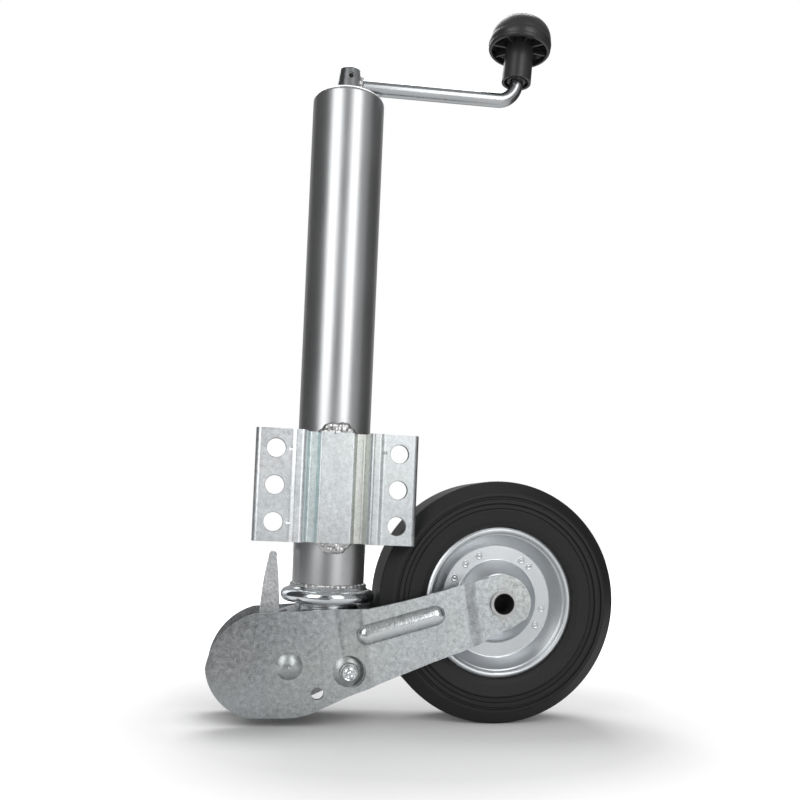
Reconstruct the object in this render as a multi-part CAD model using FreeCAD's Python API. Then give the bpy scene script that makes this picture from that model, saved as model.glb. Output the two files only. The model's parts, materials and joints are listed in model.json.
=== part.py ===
"""Jockey wheel with a clamp-on tube, crank, spindle and a fork that folds beside the tube.

The tube stands on the Z axis, the wheel lies toward +X and the bracket faces -Y.
Lengths are in millimetres. The model is drawn with the floor at z = 0 and is moved
at the end, so that its origin is the middle of its length at floor level.
"""
import FreeCAD, Part
import math
import os

V = FreeCAD.Vector
UP = V(0, 0, 1)
ALONG_Y = V(0, 1, 0)

# Clearances
RUN = 0.05          # radial clearance of a bore that turns or slides on its pin
SIDE = 0.5          # gap between the head casting and a cheek

# Outer tube, its ring and the parts in its ends
TUBE_OD = 60.0
TUBE_WALL = 2.5
TUBE_BOTTOM = 97.5
TUBE_LENGTH = 424.0
TUBE_LIP = 4.0      # radius of the rolled-over top edge
TUBE_MOUTH = 26.0   # radius of the opening that the rolled edge leaves
RING_RADIUS = 39.0
RING_BAR = 5.5      # radius of the rounded bar of the ring
RING_WELD = 3.5
BUSH_LENGTH = 30.0

# Inner tube and swivel
INNER_OD = 50.0
INNER_WALL = 3.0
INNER_TOP_GAP = 76.5        # the inner tube ends this far below the outer tube's top edge
INNER_BOTTOM = 95.0
SWIVEL_WASHER = 2.0
SWIVEL_WASHER_RADIUS = 26.0
SWIVEL_PLUG = 18.0
STUD_RADIUS = 8.0
STUD_HEAD_RADIUS = 13.0
STUD_HEAD = 8.0
HEAD_WALL = 12.0
HEAD_WINDOW = 15.0
HEAD_SLOT = 15.0        # half width of the slot for the lever and its spring

# Spindle, bearing, boss and crank
SPINDLE_OD = 20.0
SPINDLE_BOTTOM = 205.0
NUT_LENGTH = 28.0
BEARING_HEIGHT = 14.0
BALL_RADIUS = 3.0
BALL_COUNT = 12
CAP_THICKNESS = 3.0
BOSS_BASE_RADIUS = 11.0
BOSS_TOP_RADIUS = 8.6
BOSS_HEIGHT = 25.0
ROLL_PIN_RADIUS = 3.0
ARM_OD = 12.0
ARM_REACH = 146.0
ARM_RISE = 6.0
ARM_BEND = 17.0
HANDLE_LEAN = 3.5   # degrees that the knob leans outward
HANDLE_PIN = 46.0

# Knob
SLEEVE_OD = 25.7
SLEEVE_WALL = 2.2
SLEEVE_HEIGHT = 31.0
KNOB_OD = 54.0
KNOB_WALL = 2.6
KNOB_HEIGHT = 24.0
KNOB_RIB = 1.6
KNOB_RIBS = 8
KNOB_START = 17.0   # distance of the sleeve from the corner of the arm

# Clamp bracket on the tube
BRACKET_WIDTH = 130.0
BRACKET_HEIGHT = 89.0
BRACKET_BOTTOM = 147.0
BRACKET_SHEET = 4.0
BRACKET_STAND_OFF = 8.0     # the flanges stand this far in front of the middle band
BAND_WIDTH = 27.0
GROOVE_RUN = 11.0
GROOVE_DEPTH = 4.5
RIDGE_RISE = 1.2
LIP_DEPTH = 6.0
HOLE_DIAMETER = 15.0
WELD_REACH = 16.0
WELD_DEPTH = 5.5
WELD_RISE = 9.0
HOLE_PITCH = 29.0
HOLE_COLUMNS = 98.0         # distance between the two columns of holes

# Fork
CHEEK_SHEET = 4.0
CHEEK_GAP = 54.0            # between the cheeks at the pivot
CHEEK_JOG_OUT = 7.0
CHEEK_JOG_BACK = 3.0
FOLD_TILT = 10.5            # degrees that the fold lines lean from upright
FOLD_BEND = 14.0
JOG_OUT_FROM = 22.7
JOG_OUT_TO = 40.0
JOG_BACK_FROM = 127.0
JOG_BACK_TO = 137.0
LOBE_LEFT = -96.0           # the fork's rearmost point
PIVOT = V(-31, 0, 48)
PIVOT_RADIUS = 8.0
RIVET_HEAD_RADIUS = 10.8
RIVET_HEAD = 4.0
RIVET_DIMPLE = 2.6
BOLT = V(16.5, 0, 44.5)
BOLT_RADIUS = 6.0
BOLT_FLANGE_RADIUS = 12.6
COLLAR_RADIUS = 7.8
BOLT_SEAT_RADIUS = 13.6
SPACER_RADIUS = 9.0
SIGHT_HOLE = V(-7.6, 0, 26.6)
SIGHT_HOLE_RADIUS = 5.0
BEAD_START = V(30, 0, 75.2)
BEAD_END = V(84.7, 0, 91.4)
BEAD_RADIUS = 9.2
BEAD_RISE = 5.0

# Wheel
WHEEL_RADIUS = 102.0
TYRE_WIDTH = 60.0
TREAD_WIDTH = 44.0
TYRE_GAP = 1.5              # between the ring and the tyre
AXLE = V(RING_RADIUS + TYRE_GAP + WHEEL_RADIUS, 0, WHEEL_RADIUS)
RIM_RADIUS = 63.5
RIM_SHEET = 2.0
RIM_WIDTH = 48.0
AXLE_OD = 22.0
AXLE_BORE = 16.6
AXLE_PROUD = 3.0
STAKE_WIDTH = 5.0
STAKE_RISE = 2.6
HUB_OD = 34.0
HUB_BUSH_OD = 28.0
RIM_HUB_HALF = 27.0

# Lock lever
LEVER_PIN = V(-46, 0, 77)
LEVER_PIN_RADIUS = 4.0
LEVER_THICKNESS = 8.0
LEVER_TIP = V(-46.5, 0, 138)
SPRING_WIRE = 1.4
SPRING_TURNS = 4

TUBE_TOP = TUBE_BOTTOM + TUBE_LENGTH
INNER_LENGTH = TUBE_TOP - INNER_TOP_GAP - INNER_BOTTOM
TUBE_R = TUBE_OD / 2
TUBE_BORE = TUBE_R - TUBE_WALL
INNER_R = INNER_OD / 2
INNER_BORE = INNER_R - INNER_WALL
SPINDLE_R = SPINDLE_OD / 2
HEAD_TOP = INNER_BOTTOM - 2 * SWIVEL_WASHER
CHEEK_IN = CHEEK_GAP / 2
CHEEK_OUT = CHEEK_IN + CHEEK_SHEET
ARM_WALL = CHEEK_SHEET
ARM_END_IN = CHEEK_IN + CHEEK_JOG_OUT - CHEEK_JOG_BACK
CAP_TOP = TUBE_TOP + 3.0


def outline(start, *steps):
    """Closed wire from a start point; a step is a point, or (middle, end) of an arc."""
    edges, here = [], start
    for step in steps + (start,):
        if isinstance(step, tuple):
            edges.append(Part.Arc(here, step[0], step[1]).toShape())
            here = step[1]
        elif (step - here).Length > 1e-6:
            edges.append(Part.LineSegment(here, step).toShape())
            here = step
    return Part.Wire(edges)


def rounded(corners):
    """Closed wire through (point, radius) corners, each rounded by an arc."""
    count = len(corners)
    stops = []
    for i, (point, radius) in enumerate(corners):
        before, after = corners[i - 1][0], corners[(i + 1) % count][0]
        back, on = (before - point).normalize(), (after - point).normalize()
        opening = back.getAngle(on)
        if radius <= 0 or opening > math.pi - 1e-4:
            stops.append((point, None, point))
            continue
        reach = radius / math.tan(opening / 2)
        middle = (back + on).normalize()
        crown = point + middle * (radius / math.sin(opening / 2) - radius)
        stops.append((point + back * reach, crown, point + on * reach))
    edges = []
    for i, (enter, crown, leave) in enumerate(stops):
        if crown is not None:
            edges.append(Part.Arc(enter, crown, leave).toShape())
        following = stops[(i + 1) % count][0]
        if (following - leave).Length > 1e-6:
            edges.append(Part.LineSegment(leave, following).toShape())
    return Part.Wire(edges)


def rz(radius, height):
    return V(radius, 0, height)


def turned(*profile):
    """A solid turned about the Z axis from a closed profile of radius and height."""
    return Part.Face(outline(*profile)).revolve(V(0, 0, 0), UP, 360)


def tube(outer, inner, bottom, top):
    return Part.makeCylinder(outer, top - bottom, V(0, 0, bottom)).cut(
        Part.makeCylinder(inner, top - bottom, V(0, 0, bottom)))


def bar_y(centre, radius, start, end):
    """A round bar along Y through a centre, from one y to another."""
    return Part.makeCylinder(radius, end - start, V(centre.x, start, centre.z), ALONG_Y)


def plate_y(wire, start, end):
    """An outline in the XZ plane given a thickness along Y."""
    face = Part.Face(wire)
    face.translate(V(0, start, 0))
    return face.extrude(V(0, end - start, 0))


def mirrored(shape):
    return shape.mirror(V(0, 0, 0), ALONG_Y)


def outer_tube():
    top = TUBE_TOP
    lip = TUBE_LIP
    bend = lip * (1 - math.sqrt(0.5))
    inner_lip = lip - TUBE_WALL
    inner_bend = inner_lip * (1 - math.sqrt(0.5))
    return turned(
        rz(TUBE_BORE, TUBE_BOTTOM), rz(TUBE_R, TUBE_BOTTOM), rz(TUBE_R, top - lip),
        (rz(TUBE_R - bend, top - bend), rz(TUBE_R - lip, top)), rz(TUBE_MOUTH - 1.5, top),
        rz(TUBE_MOUTH - 1.5, top - TUBE_WALL), rz(TUBE_R - lip, top - TUBE_WALL),
        (rz(TUBE_BORE - inner_bend, top - TUBE_WALL - inner_bend),
         rz(TUBE_BORE, top - TUBE_WALL - inner_lip)))


def cam_ring():
    middle = TUBE_BOTTOM + RING_BAR
    centre = RING_RADIUS - RING_BAR
    return turned(
        rz(TUBE_R, TUBE_BOTTOM), rz(centre, TUBE_BOTTOM),
        (rz(RING_RADIUS, middle), rz(centre, middle + RING_BAR)),
        rz(TUBE_R + 1.5, middle + RING_BAR + 2), rz(TUBE_R, middle + RING_BAR + 2))


def ring_weld():
    base = TUBE_BOTTOM + 2 * RING_BAR + 2
    return turned(rz(TUBE_R, base), rz(TUBE_R + 1.5, base),
                  (rz(TUBE_R + 1.0, base + RING_WELD * 0.6), rz(TUBE_R, base + RING_WELD)))


def guide_bush():
    return tube(TUBE_BORE, INNER_R + RUN, TUBE_BOTTOM, TUBE_BOTTOM + BUSH_LENGTH)


def top_cap():
    """Pressed plate that closes the tube's mouth and carries the thrust bearing."""
    seat = TUBE_TOP - TUBE_WALL
    mouth = TUBE_MOUTH - 1.5
    return turned(
        rz(SPINDLE_R + RUN, seat - 4), rz(TUBE_BORE - 2, seat - 4), rz(TUBE_BORE - 2, seat),
        rz(mouth, seat), rz(mouth, TUBE_TOP),
        (rz(mouth - 1, CAP_TOP - 0.9), rz(mouth - 3.5, CAP_TOP)), rz(SPINDLE_R + RUN, CAP_TOP))


def bearing():
    """Thrust bearing under the cap: the lower race turns with the spindle."""
    top = TUBE_TOP - TUBE_WALL - 4
    half = BEARING_HEIGHT / 2
    ring_radius = SPINDLE_R + 7
    track = BALL_RADIUS + RUN
    turning = tube(ring_radius + 6, SPINDLE_R, top - BEARING_HEIGHT, top - half - 1)
    fixed = tube(ring_radius + 6, SPINDLE_R + 1, top - half + 1, top)
    groove = Part.makeTorus(ring_radius, track, V(0, 0, top - half), UP)
    balls = []
    for i in range(BALL_COUNT):
        angle = 2 * math.pi * i / BALL_COUNT
        spot = V(ring_radius * math.cos(angle), ring_radius * math.sin(angle), top - half)
        balls.append(Part.makeSphere(BALL_RADIUS, spot))
    return turning.cut(groove), fixed.cut(groove), Part.makeCompound(balls)


def bracket_front():
    """Plan of the plate's front face on its right half, as (x, y, bend radius) corners."""
    band = -TUBE_R - BRACKET_SHEET
    front = band - BRACKET_STAND_OFF
    half_band = BAND_WIDTH / 2
    floor = band + GROOVE_DEPTH
    wall = half_band + GROOVE_RUN
    edge = BRACKET_WIDTH / 2
    return [(half_band, band, 2.2), (half_band + 2.5, floor, 1.5), (wall - 1.5, floor, 2.5),
            (wall + 1.5, front - RIDGE_RISE, 4.0), (wall + 9, front - RIDGE_RISE, 4.0),
            (wall + 12, front, 6.0), (edge, front, 4.6), (edge, front + LIP_DEPTH + BRACKET_SHEET, 0)]


def bracket_back():
    """The back face is the front face moved inward by the sheet's thickness."""
    t = BRACKET_SHEET
    band, floor, foot, ridge, crown, plain, corner, lip = bracket_front()
    return [(lip[0] - t, lip[1], 0), (corner[0] - t, corner[1] + t, 1.0),
            (plain[0] + 0.5, plain[1] + t, 2.5), (crown[0] - 1, crown[1] + t, 2.0),
            (ridge[0] + 2.6, ridge[1] + t, 1.5), (foot[0] + 2.6, foot[1] + t, 3.0),
            (floor[0] + 1.4, floor[1] + t, 2.0), (band[0] - 2.4, band[1] + t, 2.0)]


def mount_bracket():
    """One folded plate: two flanges, a band and grooves on the tube, and returned lips."""
    right = bracket_front() + bracket_back()
    left = [(-x, y, bend) for x, y, bend in reversed(right)]
    plan = rounded([(V(x, y, 0), bend) for x, y, bend in right + left])
    plate = Part.Face(plan).extrude(V(0, 0, BRACKET_HEIGHT))
    plate.translate(V(0, 0, BRACKET_BOTTOM))
    for x, z in bracket_holes():
        plate = plate.cut(bar_y(V(x, 0, z), HOLE_DIAMETER / 2, -BRACKET_WIDTH, 0))
    return plate


def bracket_holes():
    middle = BRACKET_BOTTOM + BRACKET_HEIGHT / 2
    return [(side * HOLE_COLUMNS / 2, middle + row * HOLE_PITCH)
            for side in (-1, 1) for row in (1, 0, -1)]


def bracket_weld(height, rise):
    """A short heavy weld where the band's end meets the tube."""
    bead = Part.makeSphere(WELD_REACH)
    squash = FreeCAD.Matrix()
    squash.scale(1, WELD_DEPTH / WELD_REACH, rise / WELD_REACH)
    bead = bead.transformGeometry(squash)
    bead.translate(V(0, -TUBE_R, height))
    return bead.cut(Part.makeCylinder(TUBE_R, 40, V(0, 0, height - 20))).cut(mount_bracket())


def inner_tube():
    return tube(INNER_R, INNER_BORE, INNER_BOTTOM, INNER_BOTTOM + INNER_LENGTH)


def spindle_nut():
    top = INNER_BOTTOM + INNER_LENGTH
    nut = tube(INNER_BORE, SPINDLE_R + RUN, top - NUT_LENGTH, top)
    return nut.fuse(tube(INNER_R, INNER_BORE - 2, top, top + 3)).removeSplitter()


def swivel_stud():
    plug = Part.makeCylinder(INNER_BORE, SWIVEL_PLUG, V(0, 0, INNER_BOTTOM))
    shank_end = HEAD_TOP - HEAD_WALL
    shank = Part.makeCylinder(STUD_RADIUS, INNER_BOTTOM - shank_end, V(0, 0, shank_end))
    head = Part.makeCylinder(STUD_HEAD_RADIUS, STUD_HEAD, V(0, 0, shank_end - STUD_HEAD))
    return plug.fuse(shank).fuse(head).removeSplitter()


def swivel_washer(bottom, bore):
    return tube(SWIVEL_WASHER_RADIUS, bore, bottom, bottom + SWIVEL_WASHER)



def head_block():
    """Forged head under the swivel: it carries the fork's pivot and the lever's pin."""
    half = CHEEK_IN - SIDE
    boss = 17.0
    wire = outline(
        V(-SWIVEL_WASHER_RADIUS, 0, HEAD_TOP), V(SWIVEL_WASHER_RADIUS, 0, HEAD_TOP),
        V(SWIVEL_WASHER_RADIUS, 0, HEAD_TOP - HEAD_WALL - 2), V(20, 0, 62),
        V(0, 0, 58), V(PIVOT.x + 11, 0, PIVOT.z - 13),
        (V(PIVOT.x, 0, PIVOT.z - boss), V(PIVOT.x - 12, 0, PIVOT.z - 12)),
        (V(PIVOT.x - boss, 0, PIVOT.z), V(PIVOT.x - 12, 0, PIVOT.z + 12)),
        V(LEVER_PIN.x - 6, 0, LEVER_PIN.z - 5),
        (V(LEVER_PIN.x - 8, 0, LEVER_PIN.z), V(LEVER_PIN.x - 5, 0, LEVER_PIN.z + 6.2)),
        V(PIVOT.x - 2, 0, HEAD_TOP - 2))
    block = plate_y(wire, -half, half)
    window = Part.makeBox(2 * STUD_HEAD_RADIUS + 3, 2 * half, HEAD_WINDOW,
                          V(-STUD_HEAD_RADIUS - 1.5, -half, HEAD_TOP - HEAD_WALL - HEAD_WINDOW))
    slot = Part.makeBox(60, 2 * HEAD_SLOT, 80, V(LEVER_PIN.x - 40, -HEAD_SLOT, PIVOT.z + 14))
    slot = slot.cut(Part.makeBox(60, 2 * HEAD_SLOT, 80, V(PIVOT.x - 2, -HEAD_SLOT, PIVOT.z)))
    stud_hole = Part.makeCylinder(STUD_RADIUS + RUN, HEAD_WALL + 1, V(0, 0, HEAD_TOP - HEAD_WALL - 1))
    return block.cut(window).cut(slot).cut(stud_hole).cut(
        bar_y(PIVOT, PIVOT_RADIUS + RUN, -half, half)).cut(
        bar_y(LEVER_PIN, LEVER_PIN_RADIUS, -half, half))


def lock_lever():
    """Cast lever: the ring pushes its tongue aside when the tube is wound up."""
    half = LEVER_THICKNESS / 2
    tip = LEVER_TIP
    wire = outline(
        V(tip.x - 3.2, 0, tip.z - 4), (V(tip.x, 0, tip.z), V(tip.x + 3, 0, tip.z - 4.5)),
        (V(-41.2, 0, 116), V(-39.6, 0, 90)), V(-38, 0, 77),
        (V(-44, 0, 67), V(-54, 0, 60)), (V(-57.5, 0, 46), V(-51, 0, 28)),
        (V(-53, 0, 22), V(-59, 0, 23)), (V(-66, 0, 46), V(-61, 0, 64)),
        (V(-56.6, 0, 74), V(-55.5, 0, 88)), (V(-53.2, 0, 114), V(tip.x - 3.2, 0, tip.z - 4)))
    plate = plate_y(wire, -half, half)
    return plate.cut(bar_y(LEVER_PIN, LEVER_PIN_RADIUS + RUN, -half, half))


def lever_pin():
    half = CHEEK_IN - SIDE
    return bar_y(LEVER_PIN, LEVER_PIN_RADIUS, -half, half)


def lever_spring():
    """Close-wound torsion spring on the lever's pin: each turn is a half-round ridge."""
    inner = LEVER_PIN_RADIUS + 0.3
    crown = inner + SPRING_WIRE
    root = inner + SPRING_WIRE * 0.5
    steps = []
    for turn in range(SPRING_TURNS):
        foot = turn * SPRING_WIRE
        steps.append((rz(crown, foot + SPRING_WIRE / 2), rz(root, foot + SPRING_WIRE)))
    length = SPRING_TURNS * SPRING_WIRE
    coil = turned(rz(root, 0), *steps, rz(inner, length), rz(inner, 0))
    coil.rotate(V(0, 0, 0), V(1, 0, 0), 90)
    coil.translate(V(LEVER_PIN.x, -LEVER_THICKNESS / 2 - RUN, LEVER_PIN.z))
    return coil


def cheek_section(inner, outer):
    """Plan of the folded near cheek between two offsets out from its inner face."""
    stations = [(-120.0, 0.0, 0.0), (JOG_OUT_FROM, 0.0, FOLD_BEND), (JOG_OUT_TO, CHEEK_JOG_OUT, FOLD_BEND),
                (JOG_BACK_FROM, CHEEK_JOG_OUT, FOLD_BEND),
                (JOG_BACK_TO, CHEEK_JOG_OUT - CHEEK_JOG_BACK, FOLD_BEND),
                (190.0, CHEEK_JOG_OUT - CHEEK_JOG_BACK, 0.0)]
    if inner < 0:
        back = [(V(stations[0][0], -CHEEK_IN, 0), 0), (V(stations[-1][0], -CHEEK_IN, 0), 0)]
    else:
        back = [(V(u, -CHEEK_IN - step - inner, 0), bend) for u, step, bend in stations]
    front = [(V(u, -CHEEK_IN - step - outer, 0), bend) for u, step, bend in stations]
    solid = Part.Face(rounded(back + front[::-1])).extrude(V(0, 0, 300))
    solid.translate(V(0, 0, -120))
    solid.rotate(V(0, 0, 0), ALONG_Y, -FOLD_TILT)
    return solid


def cheek_outline():
    hub = AXLE
    reach = 24.0
    top = math.radians(100)
    side = math.radians(-30)
    half = (top + side) / 2
    on_hub = [V(hub.x + reach * math.cos(a), 0, hub.z + reach * math.sin(a)) for a in (top, half, side)]
    lobe_left = V(LOBE_LEFT, 0, 46)
    return outline(
        V(-60, 0, 89), (V(-15, 0, 92.6), V(30.5, 0, 95.5)), (V(66, 0, 104.5), V(106.7, 0, 116.5)),
        on_hub[0], (on_hub[1], on_hub[2]), V(123, 0, 68),
        V(84.6, 0, 53.7), V(41.5, 0, 36),
        (V(18, 0, 24.5), V(-11, 0, 11)), (V(-24, 0, 7.6), V(-36, 0, 7)),
        V(-60, 0, 7), (V(-85, 0, 21), lobe_left), (V(-84, 0, 73), V(-60, 0, 89)))


def bead(radius, rise):
    """Half-round pressed bead along the cheek, as a capsule pushed out of its face."""
    face = -CHEEK_IN - CHEEK_JOG_OUT
    run = BEAD_END - BEAD_START
    start, end = V(BEAD_START.x, 0, BEAD_START.z), V(BEAD_END.x, 0, BEAD_END.z)
    body = Part.makeCylinder(radius, run.Length, start, run)
    body = body.multiFuse([Part.makeSphere(radius, p) for p in (start, end)])
    squash = FreeCAD.Matrix()
    squash.scale(1, rise / radius, 1)
    body = body.transformGeometry(squash)
    body.translate(V(0, face, 0))
    return body


def cheek():
    """The near cheek: one pressed plate with two folds, a bead, a bolt seat and holes."""
    blank = plate_y(cheek_outline(), -60, 0)
    sheet = cheek_section(0, CHEEK_SHEET)
    under = cheek_section(-1, CHEEK_SHEET)
    wall = BOLT_SEAT_RADIUS + CHEEK_SHEET
    seat_wall = bar_y(BOLT, wall, -60, 0).cut(bar_y(BOLT, BOLT_SEAT_RADIUS, -60, 0)).common(under)
    seat = bar_y(BOLT, wall, -CHEEK_OUT, -CHEEK_IN)
    plate = sheet.cut(bar_y(BOLT, wall, -60, 0)).fuse(seat_wall).fuse(seat)
    outside = bead(BEAD_RADIUS, BEAD_RISE + CHEEK_SHEET)
    outside = outside.cut(Part.makeBox(400, 100, 400, V(-200, -CHEEK_IN - CHEEK_JOG_OUT, -100)))
    inside = bead(BEAD_RADIUS - 2.2, BEAD_RISE)
    plate = plate.fuse(outside).cut(inside).common(blank)
    for spot, radius in ((PIVOT, PIVOT_RADIUS), (BOLT, BOLT_RADIUS), (SIGHT_HOLE, SIGHT_HOLE_RADIUS),
                         (AXLE, AXLE_OD / 2)):
        plate = plate.cut(bar_y(spot, radius, -60, 0))
    return plate.cut(axle_stakes()).removeSplitter()


def domed_head(spot, radius, height, face):
    """A shallow domed rivet head on a face at -y."""
    dome_radius = (radius ** 2 + height ** 2) / (2 * height)
    ball = Part.makeSphere(dome_radius, V(spot.x, face - height + dome_radius, spot.z))
    return ball.common(bar_y(spot, radius, face - height, face))


def pivot_rivet():
    shank = bar_y(PIVOT, PIVOT_RADIUS, -CHEEK_OUT, CHEEK_OUT)
    head = domed_head(PIVOT, RIVET_HEAD_RADIUS, RIVET_HEAD, -CHEEK_OUT)
    dimple = Part.makeSphere(RIVET_DIMPLE, V(PIVOT.x, -CHEEK_OUT - RIVET_HEAD - RIVET_DIMPLE * 0.6, PIVOT.z))
    head = head.cut(dimple)
    return shank.fuse(head).fuse(mirrored(head)).removeSplitter()


def fork_bolt():
    """Flanged shoulder bolt; its threaded end takes the nut on the far side."""
    shank = bar_y(BOLT, BOLT_RADIUS, -CHEEK_OUT - 9, CHEEK_OUT + 12)
    return shank


def bolt_washer():
    disc = domed_head(BOLT, BOLT_FLANGE_RADIUS, 4.5, -CHEEK_OUT)
    return disc.cut(bar_y(BOLT, BOLT_RADIUS, -60, 0))


def hex_nut(outer_face):
    """Hexagon nut outside the domed washer, drawn on the near side."""
    start = -CHEEK_OUT - 4.5
    across = 9.0
    corners = [V(BOLT.x + across * math.cos(math.radians(60 * i)), start,
                 BOLT.z + across * math.sin(math.radians(60 * i))) for i in range(7)]
    nut = Part.Face(Part.makePolygon(corners)).extrude(V(0, outer_face - start, 0))
    ease = domed_head(BOLT, across + 0.5, 3.0, start).fuse(bar_y(BOLT, across, start - 1, start))
    nut = nut.common(bar_y(BOLT, across, start - 10, start).fuse(ease))
    return nut.cut(bar_y(BOLT, BOLT_RADIUS, -60, 0))


def bolt_collar():
    """Round head of the bolt: a stepped collar with a cupped recess round its centre."""
    start = CHEEK_OUT + 4.5
    r = COLLAR_RADIUS
    ring = turned(rz(BOLT_RADIUS, start - 2), rz(r, start - 2), rz(r, start + 1.6),
                  (rz(r - 0.6, start + 2.6), rz(r - 1.6, start + 3)), rz(r - 2.2, start + 1.8),
                  rz(BOLT_RADIUS, start + 1.8))
    ring.rotate(V(0, 0, 0), V(1, 0, 0), 90)
    ring.translate(BOLT)
    return ring.cut(bolt_washer()).cut(fork_bolt())


def fork_spacer():
    return bar_y(BOLT, SPACER_RADIUS, -CHEEK_IN, CHEEK_IN).cut(
        bar_y(BOLT, BOLT_RADIUS, -CHEEK_IN, CHEEK_IN))


def axle_stakes():
    """Lugs of the axle tube that are staked into notches above and below its hole."""
    rise = AXLE_OD + 2 * STAKE_RISE
    return Part.makeBox(STAKE_WIDTH, ARM_WALL, rise,
                        V(AXLE.x - STAKE_WIDTH / 2, -ARM_END_IN - ARM_WALL, AXLE.z - rise / 2))


def axle_tube():
    reach = ARM_END_IN + ARM_WALL + AXLE_PROUD
    lugs = axle_stakes()
    return bar_y(AXLE, AXLE_OD / 2, -reach, reach).multiFuse([lugs, mirrored(lugs)]).cut(
        bar_y(AXLE, AXLE_BORE / 2, -reach, reach))


def axle_spacer():
    inner = RIM_HUB_HALF + 0.3
    return bar_y(AXLE, AXLE_OD / 2 + 4, -ARM_END_IN, -inner).cut(bar_y(AXLE, AXLE_OD / 2, -60, 0))


def rim_half():
    """Pressed wheel disc: rolled edge, groove, dish, flat disc and the dome round the hub."""
    t = RIM_SHEET
    face = RIM_WIDTH / 2
    hub = HUB_OD / 2
    crown = RIM_HUB_HALF - 3 + t
    front = [(hub, crown, 0), (hub + 7, crown, 4.0), (33.0, 16.6, 3.0), (35.2, 13.6, 1.2),
             (47.6, 13.6, 1.5), (49.6, 15.6, 2.5), (56.4, face - 1.2, 1.5), (57.6, face - 0.6, 0.7),
             (59.0, face + 1.6, 1.5), (61.0, face + 1.9, 1.2), (RIM_RADIUS, face + 0.6, 1.2),
             (RIM_RADIUS, face - 1.4, 0)]
    back = [(60.6, face - 0.6, 1.0), (57.4, face - 3.4, 1.0), (55.0, face - 4.5, 0.5), (55.0, 0, 0),
            (53.0, 0, 0), (53.0, 16.0, 0.5), (48.8, 13.2, 1.0), (47.0, 13.6 - t, 1.0),
            (34.4, 13.6 - t, 1.0), (32.0, 14.8, 1.5), (hub + 6.2, crown - t, 2.5), (hub, crown - t, 0)]
    profile = rounded([(rz(radius, -y), bend) for radius, y, bend in front + back])
    solid = Part.Face(profile).revolve(V(0, 0, 0), UP, 360)
    solid.rotate(V(0, 0, 0), V(1, 0, 0), -90)
    solid.translate(AXLE)
    return solid


def hub_tube():
    return bar_y(AXLE, HUB_OD / 2, -RIM_HUB_HALF, RIM_HUB_HALF).cut(
        bar_y(AXLE, HUB_BUSH_OD / 2, -RIM_HUB_HALF, RIM_HUB_HALF))


def hub_bush():
    bush = bar_y(AXLE, HUB_BUSH_OD / 2, -RIM_HUB_HALF, -4)
    return bush.cut(bar_y(AXLE, AXLE_OD / 2 + RUN, -RIM_HUB_HALF, -4))


def tyre():
    """Solid rubber tyre: flat tread, bevelled shoulders and stepped, grooved side walls."""
    half, tread = TYRE_WIDTH / 2, TREAD_WIDTH / 2
    r = WHEEL_RADIUS
    side = [(62.2, 22, 0), (64.4, 26.6, 1.0), (68.5, 28.2, 3.0), (78.2, half - 0.2, 1.0),
            (79.4, half - 1.8, 0.5), (82.4, half - 1.8, 0.5), (83.4, half, 0.6), (86.6, half, 0.4),
            (87.1, half - 1.6, 0.3), (88.6, half - 1.6, 0.3), (89.1, half, 0.4), (91.6, half, 3.0),
            (r, tread, 2.0)]
    near = [(rz(radius, -y), bend) for radius, y, bend in side]
    far = [(rz(radius, y), bend) for radius, y, bend in reversed(side)]
    solid = Part.Face(rounded([(rz(55, -17), 0)] + near + far + [(rz(55, 17), 0)])).revolve(
        V(0, 0, 0), UP, 360)
    solid.rotate(V(0, 0, 0), V(1, 0, 0), -90)
    solid.translate(AXLE)
    return solid


def crank_boss():
    base = CAP_TOP
    return turned(rz(0, base), rz(BOSS_BASE_RADIUS, base), rz(BOSS_BASE_RADIUS, base + 5),
                  rz(BOSS_TOP_RADIUS, base + BOSS_HEIGHT - 2),
                  rz(BOSS_TOP_RADIUS - 2, base + BOSS_HEIGHT), rz(0, base + BOSS_HEIGHT)).cut(
        spindle_top()).cut(roll_pin_hole())


def spindle_top():
    return Part.makeCylinder(SPINDLE_R * 0.6, BOSS_HEIGHT, V(0, 0, CAP_TOP - 3))


def roll_pin_hole():
    height = CAP_TOP + BOSS_HEIGHT * 0.62
    return bar_y(V(0, 0, height), ROLL_PIN_RADIUS, -20, 20)


def spindle():
    body = Part.makeCylinder(SPINDLE_R, CAP_TOP - SPINDLE_BOTTOM, V(0, 0, SPINDLE_BOTTOM))
    neck = Part.makeCylinder(SPINDLE_R * 0.6, BOSS_HEIGHT - 3, V(0, 0, CAP_TOP))
    return body.fuse(neck).removeSplitter().cut(roll_pin_hole())


def roll_pin():
    reach = BOSS_TOP_RADIUS - 0.2
    height = CAP_TOP + BOSS_HEIGHT * 0.62
    spot = V(0, 0, height)
    return bar_y(spot, ROLL_PIN_RADIUS, -reach, reach).cut(bar_y(spot, ROLL_PIN_RADIUS - 1, -reach, reach))


def arm_height():
    return CAP_TOP + BOSS_HEIGHT * 0.42


def handle_frame():
    """Foot of the knob's pin on the arm and the direction that the pin points in."""
    lean = math.radians(HANDLE_LEAN)
    direction = V(math.sin(lean), 0, math.cos(lean))
    foot = V(ARM_REACH, 0, arm_height() + ARM_RISE)
    return foot, direction


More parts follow.
